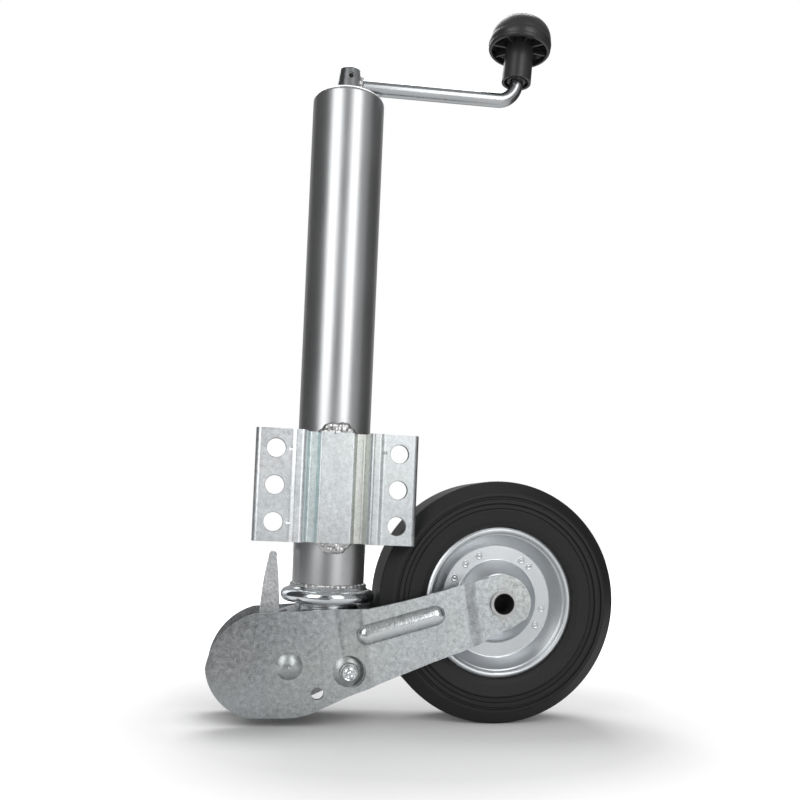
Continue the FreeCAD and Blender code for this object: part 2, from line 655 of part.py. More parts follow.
def crank_arm():
    """Bent round bar: from the boss outward, then up to carry the knob."""
    foot, direction = handle_frame()
    start = V(BOSS_TOP_RADIUS - 0.5, 0, arm_height())
    run = foot - start
    run.normalize()
    turn = math.acos(run.dot(direction))
    tangent = ARM_BEND * math.tan(turn / 2)
    arc_start = foot - run * tangent
    arc_end = foot + direction * tangent
    towards = direction - run
    towards.normalize()
    centre = foot + towards * (ARM_BEND / math.cos(turn / 2))
    arc_mid = centre - towards * ARM_BEND
    path = Part.Wire([Part.LineSegment(start, arc_start).toShape(),
                      Part.Arc(arc_start, arc_mid, arc_end).toShape(),
                      Part.LineSegment(arc_end, foot + direction * HANDLE_PIN).toShape()])
    section = Part.Wire(Part.makeCircle(ARM_OD / 2, start, run))
    arm = path.makePipeShell([section], True, True)
    return arm.cut(crank_boss()).cut(spindle_top())


def crank_weld():
    spot = V(BOSS_TOP_RADIUS + 0.3, 0, arm_height())
    bead_ring = Part.makeTorus(ARM_OD / 2 + 0.4, 2.2, spot, V(1, 0, 0))
    return bead_ring.cut(crank_boss()).cut(crank_arm()).cut(roll_pin())


def on_handle(shape, height):
    """Set a piece that was turned about Z onto the crank's leaning pin."""
    foot, direction = handle_frame()
    shape.rotate(V(0, 0, 0), ALONG_Y, HANDLE_LEAN)
    shape.translate(foot + direction * height)
    return shape


def knob_body():
    bore = ARM_OD / 2 + RUN
    sleeve_r = SLEEVE_OD / 2
    cap_r = KNOB_OD / 2
    rim = SLEEVE_HEIGHT - 3
    top = rim + KNOB_HEIGHT
    barrel = bore + 2.0
    floor = HANDLE_PIN - KNOB_START + 5
    wall = sleeve_r - SLEEVE_WALL
    outer = turned(
        rz(wall, 0), rz(sleeve_r, 0), rz(sleeve_r - 0.5, rim + 7), rz(cap_r - 9, rim + 11),
        rz(cap_r - KNOB_WALL, rim + 5), rz(cap_r - KNOB_WALL, rim),
        rz(cap_r - 0.8, rim), (rz(cap_r, rim + 1.2), rz(cap_r, rim + 3)),
        (rz(cap_r - 1.6, rim + 12), rz(cap_r - 6.0, top - 9)), rz(cap_r - 6.4, top - 8.4),
        rz(0, top - 8.4), rz(0, floor), rz(bore, floor), rz(bore, 1), rz(barrel, 1),
        rz(barrel, floor - 3), rz(wall, floor - 3))
    ribs = []
    for i in range(KNOB_RIBS):
        angle = 360.0 * i / KNOB_RIBS
        inner_rib = Part.makeBox(wall - barrel + 0.4, KNOB_RIB, floor - 5, V(barrel - 0.2, -KNOB_RIB / 2, 2.5))
        web = outline(V(sleeve_r - 0.8, -KNOB_RIB / 2, rim + 1.5),
                      V(cap_r - KNOB_WALL + 0.6, -KNOB_RIB / 2, rim + 1.5),
                      V(cap_r - KNOB_WALL + 0.6, -KNOB_RIB / 2, rim + 8),
                      V(cap_r - 9, -KNOB_RIB / 2, rim + 12), V(sleeve_r - 0.8, -KNOB_RIB / 2, rim + 8))
        for rib in (inner_rib, Part.Face(web).extrude(V(0, KNOB_RIB, 0))):
            rib.rotate(V(0, 0, 0), UP, angle)
            ribs.append(rib)
    return on_handle(outer.multiFuse(ribs).removeSplitter(), KNOB_START)


def knob_cap():
    cap_r = KNOB_OD / 2
    base = SLEEVE_HEIGHT - 3 + KNOB_HEIGHT - 8.4
    top = base + 8.4
    lid_r = cap_r - 6.4
    rise = top - base - 0.8
    dome_r = (lid_r ** 2 + rise ** 2) / (2 * rise)
    dome = Part.makeSphere(dome_r, V(0, 0, top - dome_r))
    return on_handle(dome.common(Part.makeCylinder(lid_r, top - base, V(0, 0, base))), KNOB_START)


def pieces():
    lower_race, upper_race, balls = bearing()
    near = cheek()
    washer = bolt_washer()
    nut = hex_nut(-CHEEK_OUT - 9 + 1.5)
    spacer = axle_spacer()
    bush = hub_bush()
    rim = rim_half()
    return {
        "outer_tube": outer_tube(), "cam_ring": cam_ring(), "ring_weld": ring_weld(),
        "guide_bush": guide_bush(), "top_cap": top_cap(), "bearing_lower_race": lower_race,
        "bearing_upper_race": upper_race, "bearing_balls": balls,
        "mount_bracket": mount_bracket(),
        "bracket_weld_upper": bracket_weld(BRACKET_BOTTOM + BRACKET_HEIGHT, WELD_RISE),
        "bracket_weld_lower": bracket_weld(BRACKET_BOTTOM, WELD_RISE),
        "spindle": spindle(), "crank_boss": crank_boss(), "roll_pin": roll_pin(),
        "crank_arm": crank_arm(), "crank_weld": crank_weld(),
        "knob_body": knob_body(), "knob_cap": knob_cap(),
        "inner_tube": inner_tube(), "spindle_nut": spindle_nut(), "swivel_stud": swivel_stud(),
        "swivel_washer_upper": swivel_washer(INNER_BOTTOM - SWIVEL_WASHER, STUD_RADIUS),
        "swivel_washer_lower": swivel_washer(HEAD_TOP, STUD_RADIUS + RUN),
        "head_block": head_block(), "lever_pin": lever_pin(), "lever_spring": lever_spring(),
        "lock_lever": lock_lever(),
        "cheek_near": near, "cheek_far": mirrored(near), "pivot_rivet": pivot_rivet(),
        "fork_bolt": fork_bolt(), "fork_spacer": fork_spacer(),
        "bolt_washer_near": washer, "bolt_washer_far": mirrored(washer),
        "bolt_collar": bolt_collar(), "bolt_nut": mirrored(nut),
        "axle_tube": axle_tube(), "axle_spacer_near": spacer, "axle_spacer_far": mirrored(spacer),
        "tyre": tyre().cut(rim).cut(mirrored(rim)), "rim_near": rim, "rim_far": mirrored(rim), "hub_tube": hub_tube(),
        "hub_bush_near": bush, "hub_bush_far": mirrored(bush),
    }


os.makedirs("parts", exist_ok=True)
made = pieces()
to_origin = V(-(LOBE_LEFT + AXLE.x + WHEEL_RADIUS) / 2, 0, 0)
for name, shape in made.items():
    shape.translate(to_origin)
    if not shape.isValid() or shape.Volume <= 0:
        print("check", name, shape.isValid(), shape.Volume)
    shape.exportStep("parts/" + name + ".step")
print(len(made), "pieces, moved by", to_origin)
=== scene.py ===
# %% [markdown]
# Jockey wheel, dressed for its picture.
# The rigid pieces already exist as a fixed frame, in metres, so this lesson only
# gives them their surfaces, and adds or builds again what needs a finer mesh of its
# own: weld beads, spot weld marks, the knob's lid and softened sheet edges.

# %% Load the frame
import json
import math

import bmesh
import bpy
from mathutils import Matrix, Vector

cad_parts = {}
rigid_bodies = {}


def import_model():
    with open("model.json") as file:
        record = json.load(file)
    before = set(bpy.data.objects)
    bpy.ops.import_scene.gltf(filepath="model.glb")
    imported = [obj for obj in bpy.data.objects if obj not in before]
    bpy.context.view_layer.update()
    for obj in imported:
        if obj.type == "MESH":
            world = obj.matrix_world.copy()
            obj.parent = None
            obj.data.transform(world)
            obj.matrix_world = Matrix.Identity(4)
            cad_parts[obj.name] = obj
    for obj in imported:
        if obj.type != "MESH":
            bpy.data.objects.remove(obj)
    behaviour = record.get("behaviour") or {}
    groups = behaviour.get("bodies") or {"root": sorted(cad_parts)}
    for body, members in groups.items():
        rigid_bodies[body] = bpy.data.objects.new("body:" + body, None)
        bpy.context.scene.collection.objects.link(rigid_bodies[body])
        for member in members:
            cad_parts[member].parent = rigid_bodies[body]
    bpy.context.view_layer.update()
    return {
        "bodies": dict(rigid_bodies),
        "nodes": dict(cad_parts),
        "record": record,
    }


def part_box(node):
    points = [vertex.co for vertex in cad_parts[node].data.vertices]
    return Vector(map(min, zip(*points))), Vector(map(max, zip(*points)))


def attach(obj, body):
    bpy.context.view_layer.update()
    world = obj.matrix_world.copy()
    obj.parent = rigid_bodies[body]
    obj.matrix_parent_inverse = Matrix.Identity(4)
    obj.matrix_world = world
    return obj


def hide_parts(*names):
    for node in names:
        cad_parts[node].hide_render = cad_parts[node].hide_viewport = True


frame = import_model()
nodes = frame["nodes"]

# %% [markdown]
# Every place that is needed later is read from the frame, so that the pieces follow
# it. The tube's axis, the axle and the bracket's face are the three datums.

# %% Datums read from the frame
MM = 0.001


def middle(node):
    low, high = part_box(node)
    return (low + high) / 2


TUBE_AXIS = middle("outer_tube")
AXLE = middle("axle_tube")
BRACKET_LOW, BRACKET_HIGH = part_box("mount_bracket")
print("axle at", tuple(round(v, 4) for v in AXLE))

# %% [markdown]
# The camera stands low and a little left of the tube, near enough that the knob is
# seen from below. It is tipped up by little more than a degree and rolls slightly, and
# the rest of the way up is a shift of the frame, so upright lines stay nearly parallel.

# %% Camera
CAMERA_FROM_TUBE = Vector((-68, -700, 170)) * MM
CAMERA_YAW = math.radians(10.5)
CAMERA_PITCH = math.radians(1.5)
CAMERA_ROLL = math.radians(2.4)
CAMERA_LENS = 37.5
FRAME_SHIFT_X = -0.005
FRAME_SHIFT_Y = 0.1195


def make_camera():
    data = bpy.data.cameras.new("photo_camera")
    data.lens = CAMERA_LENS
    data.sensor_width = 36.0
    data.shift_x = FRAME_SHIFT_X
    data.shift_y = FRAME_SHIFT_Y
    camera = bpy.data.objects.new("photo_camera", data)
    bpy.context.scene.collection.objects.link(camera)
    ahead = Vector((math.sin(CAMERA_YAW), math.cos(CAMERA_YAW), 0))
    forward = ahead * math.cos(CAMERA_PITCH) + Vector((0, 0, math.sin(CAMERA_PITCH)))
    level = Vector((math.cos(CAMERA_YAW), -math.sin(CAMERA_YAW), 0))
    up = level.cross(forward)
    right = level * math.cos(CAMERA_ROLL) + up * math.sin(CAMERA_ROLL)
    over = up * math.cos(CAMERA_ROLL) - level * math.sin(CAMERA_ROLL)
    turn = Matrix((right, over, -forward)).transposed().to_4x4()
    place = Vector((TUBE_AXIS.x, TUBE_AXIS.y, 0)) + CAMERA_FROM_TUBE
    camera.matrix_world = Matrix.Translation(place) @ turn
    bpy.context.scene.camera = camera
    return camera


camera = make_camera()

# %% [markdown]
# Shader maths reads best as ordinary expressions. This small class wraps a socket
# and adds a Math node for each operator, and one method makes every other node.

# %% Socket expressions
class Value:
    """An output socket that can be used in Python arithmetic."""

    def __init__(self, shader, socket):
        self.shader, self.socket = shader, socket

    def maths(self, operation, first, second, clamp=False):
        settings = {"operation": operation, "use_clamp": clamp}
        return self.shader.node("ShaderNodeMath", settings, {0: first, 1: second})

    def __add__(self, other):
        return self.maths("ADD", self, other)

    def __radd__(self, other):
        return self.maths("ADD", other, self)

    def __sub__(self, other):
        return self.maths("SUBTRACT", self, other)

    def __rsub__(self, other):
        return self.maths("SUBTRACT", other, self)

    def __mul__(self, other):
        return self.maths("MULTIPLY", self, other)

    def __rmul__(self, other):
        return self.maths("MULTIPLY", other, self)

    def __truediv__(self, other):
        return self.maths("DIVIDE", self, other)

    def above(self, edge, softness):
        """0 below an edge and 1 above it, over a soft step."""
        return self.maths("ADD", (self - edge) / softness, 0.5, clamp=True)

    def largest(self, other):
        return self.maths("MAXIMUM", self, other)


class Shader:
    """A material's node tree, with its Principled shader already linked."""

    def __init__(self, name):
        self.material = bpy.data.materials.new(name)
        self.material.use_nodes = True
        self.tree = self.material.node_tree
        self.tree.nodes.clear()
        self.skin = self.tree.nodes.new("ShaderNodeBsdfPrincipled")
        output = self.tree.nodes.new("ShaderNodeOutputMaterial")
        self.tree.links.new(self.skin.outputs[0], output.inputs["Surface"])

    def put(self, socket, value):
        if isinstance(value, Value):
            self.tree.links.new(value.socket, socket)
        else:
            socket.default_value = value

    def node(self, kind, settings=None, inputs=None, output=0):
        """Any node: its settings are set first, then the values or links of its sockets."""
        made = self.tree.nodes.new(kind)
        for name, value in (settings or {}).items():
            setattr(made, name, value)
        for name, value in (inputs or {}).items():
            self.put(made.inputs[name], value)
        return Value(self, made.outputs[output])

    def place(self, scale=(1, 1, 1), location=(0, 0, 0)):
        """Object coordinates, moved and scaled."""
        coordinates = self.node("ShaderNodeTexCoord", output="Object")
        return self.node("ShaderNodeMapping", {}, {"Vector": coordinates, "Location": location,
                                                   "Scale": scale})

    def noise(self, where, scale, detail=3.0, rough=0.55):
        inputs = {"Vector": where, "Scale": scale, "Detail": detail, "Roughness": rough}
        return self.node("ShaderNodeTexNoise", {}, inputs, "Fac")

    def cells(self, where, scale, output="Distance"):
        inputs = {"Vector": where, "Scale": scale}
        return self.node("ShaderNodeTexVoronoi", {"feature": "F1"}, inputs, output)

    def blend(self, amount, first, second):
        """A Mix node on colours: the first colour at 0 and the second at 1."""
        made = self.tree.nodes.new("ShaderNodeMix")
        made.data_type = "RGBA"
        self.put(made.inputs[0], amount)
        self.put(made.inputs[6], first)
        self.put(made.inputs[7], second)
        return Value(self, made.outputs[2])

    def bump(self, height, strength, distance):
        inputs = {"Height": height, "Strength": strength, "Distance": distance}
        self.put(self.skin.inputs["Normal"], self.node("ShaderNodeBump", {}, inputs, "Normal"))

    def finish(self, **sockets):
        """Sets or links the shader's own sockets, named in words, and returns the material."""
        for name, value in sockets.items():
            label = name.replace("_", " ").title().replace("Ior", "IOR")
            self.put(self.skin.inputs[label], value)
        return self.material


def grey(level, warm=0.0):
    """A neutral colour, a little warmer or cooler."""
    return (level * (1 + warm), level, level * (1 - warm), 1)


# %% [markdown]
# Bright zinc plating on pressed sheet is neither mirror nor paint. Close up it has a
# fine salt-and-pepper grain, broad pale and darker clouds, and a faint straw or blue
# tint where the passivation is thicker. Fine noise drives the grain and roughness,
# broad noise the clouds and the tint, and a very small bump breaks the reflections.

# %% Tints of the sheet and painted shade in its holes
def tinted(level, red, green, blue):
    return (level * red, level * green, level * blue, 1)


def groove_tints(shader, base, level):
    """Passivation gathers in the bracket's grooves: bluish on the left, straw on the right."""
    across = shader.node("ShaderNodeSeparateXYZ", {}, {0: shader.place(location=(-TUBE_AXIS.x, 0, 0))})
    for side, tint in ((-1, (0.86, 1.0, 1.0)), (1, (1.0, 1.02, 0.93))):
        reach = across * side
        inside = reach.above(GROOVE_FROM, 1.5 * MM) * (1 - reach.above(GROOVE_TO, 1.5 * MM))
        base = shader.blend(inside * 0.6, base, tinted(level * 0.94, *tint))
    return base


def hole_wall_shade(shader):
    """1 in the punched holes and 0 elsewhere: the mask for painted shade on the holes' walls."""
    inside = 0
    height = (BRACKET_LOW.z + BRACKET_HIGH.z) / 2
    for side in (-1, 1):
        for row in (-1, 0, 1):
            where = shader.place(scale=(1, 0, 1), location=(-TUBE_AXIS.x - side * HOLE_COLUMN, 0,
                                                            -height - row * HOLE_PITCH))
            reach = shader.node("ShaderNodeVectorMath", {"operation": "LENGTH"}, {0: where}, "Value")
            inside = inside + (1 - reach.above(HOLE_RADIUS + 0.25 * MM, 0.3 * MM))
    return inside


# %% [markdown]
# The sheet finish itself has three uses: plain on the small plates; with groove tints, dents,
# painted shade in its holes and a painted reflection across it on the bracket; and with a
# painted reflection and shade across them and a painted highlight on the bead on the cheeks.
# One function with options keeps them alike, so that they look like one plating bath.

# %% Zinc on pressed sheet
def zinc_sheet(name, level=0.44, rough=0.35, grain=1.15, dents=(), grooves=False, painted_reflection=None, crest=None):
    """Plated sheet. A painted reflection is (x from, x to, tone there, tone here): painted light and shade
    that scales the tone along X, lighter at one end and darker at the other.
    A crest is the distance from the middle plane beyond which a painted highlight is blended onto the
    pressed bead."""
    shader = Shader(name)
    where = shader.place()
    fine = shader.noise(where, 900, 2.0)
    middle_grain = shader.noise(where, 260, 4.0)
    clouds = shader.noise(where, 15, 5.0)
    spangle = shader.cells(where, 420, output="Color")
    tint = shader.noise(shader.place(location=(0.3, 0.1, 0.2)), 9, 2.0)
    base = shader.blend(tint.above(0.5, 0.35), grey(level, -0.02), tinted(level, 0.91, 0.99, 1.02))
    base = shader.blend(tint.above(0.60, 0.2) * 0.45, base, tinted(level, 1.07, 1.05, 0.97))
    if grooves:
        base = groove_tints(shader, base, level)
    dark = (fine - 0.5) * (0.9 * grain) + (middle_grain - 0.5) * (0.9 * grain)
    dark = dark + (clouds - 0.5) * 0.85 + (spangle - 0.5) * (0.22 * grain)
    strength = dark.above(-0.05, 1.1) * 0.62 + 0.66
    if grooves:
        # Painted shade: the walls of the punched holes are drawn much darker than the faces.
        strength = strength * (1 - hole_wall_shade(shader) * 0.86)
    # Painted reflection: the tone is scaled along X, brighter at one end and darker at the other.
    if painted_reflection:
        start, end, tone_start, tone_end = painted_reflection
        along = shader.node("ShaderNodeSeparateXYZ", {}, {0: where})
        reach = along.above((start + end) / 2, end - start)
        strength = strength * (reach * (tone_end - tone_start) + tone_start)
    colour = shader.node("ShaderNodeVectorMath", {"operation": "SCALE"}, {0: base, "Scale": strength},
                         "Vector")
    roughness = rough + (clouds - 0.5) * 0.16 + (middle_grain - 0.5) * (0.22 * grain)
    # Painted highlight: the bead's crest is blended towards a bright grey and made a little smoother.
    if crest:
        sides = shader.node("ShaderNodeSeparateXYZ", {}, {0: where}, "Y")
        painted_bead_highlight = sides.largest(-1 * sides).above(crest, 1.5 * MM)
        colour = shader.blend(painted_bead_highlight * 0.7, colour, tinted(0.72, 0.96, 1.0, 1.02))
        roughness = roughness - painted_bead_highlight * 0.09
    height = fine * 0.4 + middle_grain
    for x, y, z, size in dents:
        coordinates = shader.node("ShaderNodeTexCoord", output="Object")
        reach = shader.node("ShaderNodeVectorMath", {"operation": "DISTANCE"},
                            {0: coordinates, 1: (x, y, z)}, "Value")
        height = height + reach.above(size, size) * 14
    shader.bump(height, 0.22, 0.0004)
    return shader.finish(base_color=colour, metallic=0.92, roughness=roughness)


# %% [markdown]
# A drawn tube is smoother than sheet and its grain runs along it. The noise is squeezed
# along Z, which draws the spots out into streaks, and the roughness stays nearly even,
# so that the lamps show as two long bright bands. The axle tube is a different case:
# it is plated outside, and a mask on the radius paints its bore near black and dull, as painted shade.

# %% Zinc on drawn tube and on the axle
def zinc_tube(name):
    """Drawn tube: the grain is stretched along Z, so highlights run in long streaks."""
    shader = Shader(name)
    streaks = shader.noise(shader.place(scale=(1, 1, 0.03)), 500, 3.0)
    wide = shader.noise(shader.place(scale=(1, 1, 0.12)), 60, 3.0)
    fine = shader.noise(shader.place(), 900, 2.0)
    specks = shader.cells(shader.place(scale=(1, 1, 0.35)), 150)
    clouds = shader.noise(shader.place(), 16, 3.0)
    tone = (streaks - 0.5) * 0.35 + (wide - 0.5) * 0.4 + (fine - 0.5) * 0.2 + (clouds - 0.5) * 0.5
    tone = tone - (1 - specks.above(0.10, 0.06)) * 0.30
    colour = shader.blend(tone.above(0.0, 1.6), tinted(0.46, 0.98, 1.0, 1.02), tinted(0.67, 0.99, 1.0, 1.01))
    roughness = 0.33 + (fine - 0.5) * 0.06 + (clouds - 0.5) * 0.10 + (wide - 0.5) * 0.08
    shader.bump(fine * 0.4 + streaks, 0.035, 0.0003)
    return shader.finish(base_color=colour, metallic=0.95, roughness=roughness)


def axle_zinc(name):
    """The axle tube is plated outside; its bore is painted near black and dull, as painted shade."""
    shader = Shader(name)
    reach = shader.node("ShaderNodeVectorMath", {"operation": "LENGTH"},
                        {0: shader.place(scale=(1, 0, 1), location=(-AXLE.x, 0, -AXLE.z))}, "Value")
    outside = reach.above(AXLE_BORE_RADIUS + 0.5 * MM, 0.4 * MM)
    fine = shader.noise(shader.place(), 800, 3.0)
    # Painted shade: inside the bore the colour is near black and not metallic.
    colour = shader.blend(outside, grey(0.012), shader.blend(fine, grey(0.36), grey(0.62)))
    shader.bump(fine, 0.1, 0.0003)
    return shader.finish(base_color=colour, metallic=outside * 0.9, roughness=0.7 - outside * 0.36)


# %% [markdown]
# Rings, rims, welds and castings leave the bath brighter or coarser than the sheet. The
# ring and the rims are nearly mirrors with faint clouds. A casting is sandy, so its
# bump is deeper. A weld bead has ripples from its puddles and is freckled by spatter.
# The oiled steel inside the tube hardly shows and stays simple.

# %% Bright rings, castings, welds and oiled steel
def zinc_bright(name, level=0.78, rough=0.16):
    shader = Shader(name)
    fine = shader.noise(shader.place(), 700, 3.0)
    clouds = shader.noise(shader.place(), 30, 3.0)
    colour = shader.blend(((clouds - 0.5) * 0.9 + (fine - 0.5) * 0.4).above(0, 1),
                          tinted(level * 0.8, 0.95, 1.0, 1.04), tinted(level * 1.12, 0.98, 1.0, 1.02))
    roughness = rough + (clouds - 0.5) * 0.12 + (fine - 0.5) * 0.10
    shader.bump(fine, 0.08, 0.0003)
    return shader.finish(base_color=colour, metallic=1.0, roughness=roughness)


def zinc_cast(name, level=0.62):
    shader = Shader(name)
    where = shader.place()
    sand = shader.noise(where, 420, 5.0, 0.7)
    pits = shader.cells(where, 520)
    tone = (sand - 0.5) * 1.4 + (pits - 0.4) * 0.4
    colour = shader.blend(tone.above(0, 1), grey(level * 0.6, -0.01), grey(level * 1.3, -0.02))
    shader.bump(sand + pits * 0.6, 0.32, 0.0004)
    return shader.finish(base_color=colour, metallic=0.9, roughness=0.34 + (sand - 0.5) * 0.3)


def zinc_weld(name):
    shader = Shader(name)
    where = shader.place()
    ripple = shader.noise(where, 300, 4.0)
    spatter = shader.cells(where, 260)
    colour = shader.blend(((ripple - 0.5) * 1.6).above(0, 1), grey(0.36, 0.01), grey(0.72))
    shader.bump(ripple + spatter * 0.4, 0.35, 0.0008)
    return shader.finish(base_color=colour, metallic=0.9, roughness=0.30 + (ripple - 0.5) * 0.25)


def dark_steel(name):
    shader = Shader(name)
    oil = shader.noise(shader.place(), 120, 4.0)
    colour = shader.blend(oil, grey(0.16), grey(0.34))
    return shader.finish(base_color=colour, metallic=0.95, roughness=0.25 + oil * 0.2)


# %% [markdown]
# The tyre is solid black rubber with a dull bloom: almost no colour, a soft sheen at
# grazing angles, fine moulding grain, and a little dust in broad patches. The knob is
# moulded plastic with a spark-eroded grain that makes its highlight wide and soft.

# %% Rubber and plastic
def rubber(name):
    shader = Shader(name)
    where = shader.place()
    grain = shader.noise(where, 1400, 3.0)
    bloom = shader.noise(where, 18, 4.0)
    colour = shader.blend((bloom - 0.5) * 0.6 + 0.4, grey(0.009), grey(0.019, -0.02))
    shader.bump(grain + bloom * 0.3, 0.16, 0.0005)
    return shader.finish(base_color=colour, specular_ior_level=0.32,
                         roughness=0.5 + (bloom - 0.5) * 0.2 + (grain - 0.5) * 0.15)


def moulded_plastic(name, level=0.022, rough=0.34):
    shader = Shader(name)
    where = shader.place()
    grain = shader.noise(where, 1500, 3.0)
    scuffs = shader.noise(shader.place(scale=(1, 1, 0.2)), 90, 4.0)
    colour = shader.blend(scuffs * 0.5, grey(level), grey(level * 1.9))
    shader.bump(grain, 0.14, 0.0005)
    return shader.finish(base_color=colour, roughness=rough + (scuffs - 0.5) * 0.18 + (grain - 0.5) * 0.12)


# %% [markdown]
# Punch marks beside the bracket's holes are shallow dents a few millimetres wide.
# They are a small dip in the sheet's own bump, placed from the hole pattern.

# %% The finishes by slot
HOLE_PITCH = 29 * MM
GROOVE_FROM = 14 * MM
GROOVE_TO = 25 * MM
AXLE_BORE_RADIUS = 8.3 * MM
HOLE_COLUMN = 49 * MM
HOLE_RADIUS = 7.5 * MM


def punch_marks():
    face = BRACKET_LOW.y
    height = (BRACKET_LOW.z + BRACKET_HIGH.z) / 2
    spots = []
    for side, row in ((-1, 1), (-1, -1), (1, 1)):
        x = TUBE_AXIS.x + side * (HOLE_COLUMN - 11.5 * MM)
        spots.append((x, face, height + row * HOLE_PITCH, 1.3 * MM))
    return spots


FINISH = {
    "zinc_plate": zinc_sheet("zinc_plate_sheet"),
    "zinc_tube": zinc_tube("zinc_tube_drawn"),
    "bright_zinc": zinc_bright("zinc_bright"),
    "cast_zinc": zinc_cast("zinc_cast", 0.76),
    "weld_bead": zinc_weld("zinc_weld"),
    "dark_steel": dark_steel("oiled_steel"),
    "bush_plastic": moulded_plastic("bush_nylon", 0.05, 0.5),
    "knob_plastic": moulded_plastic("knob_moulding"),
    "tyre_rubber": rubber("tyre_rubber"),
}
# Painted reflection on the bracket: its left end is drawn brighter and its right end darker.
BRACKET_PAINTED_REFLECTION = (BRACKET_LOW.x, BRACKET_HIGH.x, 1.2, 0.82)
BRACKET_FINISH = zinc_sheet("zinc_bracket", 0.72, 0.36, 1.0, punch_marks(), grooves=True,
                            painted_reflection=BRACKET_PAINTED_REFLECTION)
# Painted reflection and shade on the cheeks: darker towards the lobe, brighter towards the tube.
CHEEK_PAINTED_REFLECTION = (TUBE_AXIS.x - 0.10, TUBE_AXIS.x + 0.03, 0.76, 1.28)
# Painted highlight along the cheeks' bead beyond this distance from the middle plane.
BEAD_CREST = 40.5 * MM
CHEEK_FINISH = zinc_sheet("zinc_cheek", 0.45, 0.34, 1.55, painted_reflection=CHEEK_PAINTED_REFLECTION, crest=BEAD_CREST)
RIM_FINISH = zinc_bright("zinc_rim", 0.66, 0.33)
AXLE_FINISH = axle_zinc("zinc_axle")
ARM_FINISH = zinc_bright("zinc_crank", 0.50, 0.25)
SPECIAL = {"rim_near": RIM_FINISH, "rim_far": RIM_FINISH, "axle_tube": AXLE_FINISH, "crank_arm": ARM_FINISH,
           "crank_boss": ARM_FINISH, "mount_bracket": BRACKET_FINISH, "cheek_near": CHEEK_FINISH,
           "cheek_far": CHEEK_FINISH}
slot_of = {row["node"]: row["material_slot"] for row in frame["record"]["subparts"]}
for name, thing in nodes.items():
    thing.data.materials.clear()
    special = SPECIAL.get(name, FINISH[slot_of[name]])
    thing.data.materials.append(special)
print("finishes", sorted(FINISH))

# %% [markdown]
# A plain pale sweep stands under and behind the object. The camera and reflections
# see it as white, while the object's own soft shadow stays on it. The low, wide lobe
# of the fork shades the paper more than the round tyre does, so an occlusion term
# deepens the shadow on that side. When the tube is wound down the wheel goes lower
# than at rest: a constraint lets the floor sink with the hub, so that the wheel
# stands on it at every pose.

# %% Floor
FLOOR_GLOW = 0.07
SHADE_REACH = 0.07


def hub_marker():
    """An empty in the hub, which moves with the wheel's body."""
    marker = bpy.data.objects.new("hub_height", None)
    bpy.context.scene.collection.objects.link(marker)
    marker.parent = frame["bodies"]["wheel"]
    marker.location = AXLE
    return marker


HUB_MARKER = hub_marker()


def sink_with_wheel(thing):
    """Keeps a floor piece, drawn round the axle's height, as far under the hub as at rest."""
    thing.location.z = AXLE.z
    follow = thing.constraints.new("COPY_LOCATION")
    follow.target = HUB_MARKER
    follow.use_x = follow.use_y = False


def make_floor():
    side = 3.0
    drop = -AXLE.z
    corners = [(-side, -side, drop), (side, -side, drop), (side, side, drop), (-side, side, drop)]
    mesh = bpy.data.meshes.new("studio_floor")
    mesh.from_pydata(corners, [], [(0, 1, 2, 3)])
    floor = bpy.data.objects.new("studio_floor", mesh)
    bpy.context.scene.collection.objects.link(floor)
    shader = Shader("floor_paper")
    away = shader.node("ShaderNodeVectorMath", {"operation": "LENGTH"},
                       {0: shader.place(scale=(1, 1.25, 0))}, "Value")
    rays = shader.node("ShaderNodeLightPath", output="Is Camera Ray")
    open_sky = shader.node("ShaderNodeAmbientOcclusion", {"samples": 8}, {"Distance": SHADE_REACH}, "AO")
    along = shader.node("ShaderNodeSeparateXYZ", {}, {0: shader.place()})
    shade = (1 - open_sky) * (1 - along.above(-0.06, 0.12) * 0.85)
    glow = (away.above(0.46, 0.5) + FLOOR_GLOW * (1 - shade)) * rays
    paper = shader.blend(shade * 1.3, (0.9, 0.9, 0.9, 1), (0.22, 0.22, 0.22, 1))
    mesh.materials.append(shader.finish(base_color=paper, roughness=1.0, specular_ior_level=0.0,
                                        emission_color=(1, 1, 1, 1), emission_strength=glow))
    sink_with_wheel(floor)


make_floor()
print("floor stands", round(AXLE.z, 4), "m under the hub")

# %% [markdown]
# The room is white to the camera and a calm grey to everything else. Two soft lamps
# stand in front, a larger one hangs behind and above. Each front lamp makes one of the
# tube's two bright bands, and the one behind lifts the edges and the floor.

# %% World and lamps
ROOM_LEVEL = 0.36


def make_world():
    world = bpy.data.worlds.new("studio_room")
    bpy.context.scene.world = world
    world.use_nodes = True
    tree = world.node_tree
    tree.nodes.clear()
    rays = tree.nodes.new("ShaderNodeLightPath")
    level = tree.nodes.new("ShaderNodeMix")
    level.inputs[2].default_value = ROOM_LEVEL
    level.inputs[3].default_value = 1.0
    back = tree.nodes.new("ShaderNodeBackground")
    back.inputs["Color"].default_value = (1, 1, 1, 1)
    output = tree.nodes.new("ShaderNodeOutputWorld")
    tree.links.new(rays.outputs["Is Camera Ray"], level.inputs[0])
    tree.links.new(level.outputs[0], back.inputs["Strength"])
    tree.links.new(back.outputs[0], output.inputs["Surface"])


def area_lamp(name, place, target, size, height, power):
    data = bpy.data.lights.new(name, "AREA")
    data.shape = "RECTANGLE"
    data.size, data.size_y = size, height
    data.energy = power
    lamp = bpy.data.objects.new(name, data)
    bpy.context.scene.collection.objects.link(lamp)
    look = (Vector(target) - Vector(place)).to_track_quat("-Z", "Y")
    lamp.matrix_world = Matrix.Translation(place) @ look.to_matrix().to_4x4()
    print(name, "at", place, power, "W")


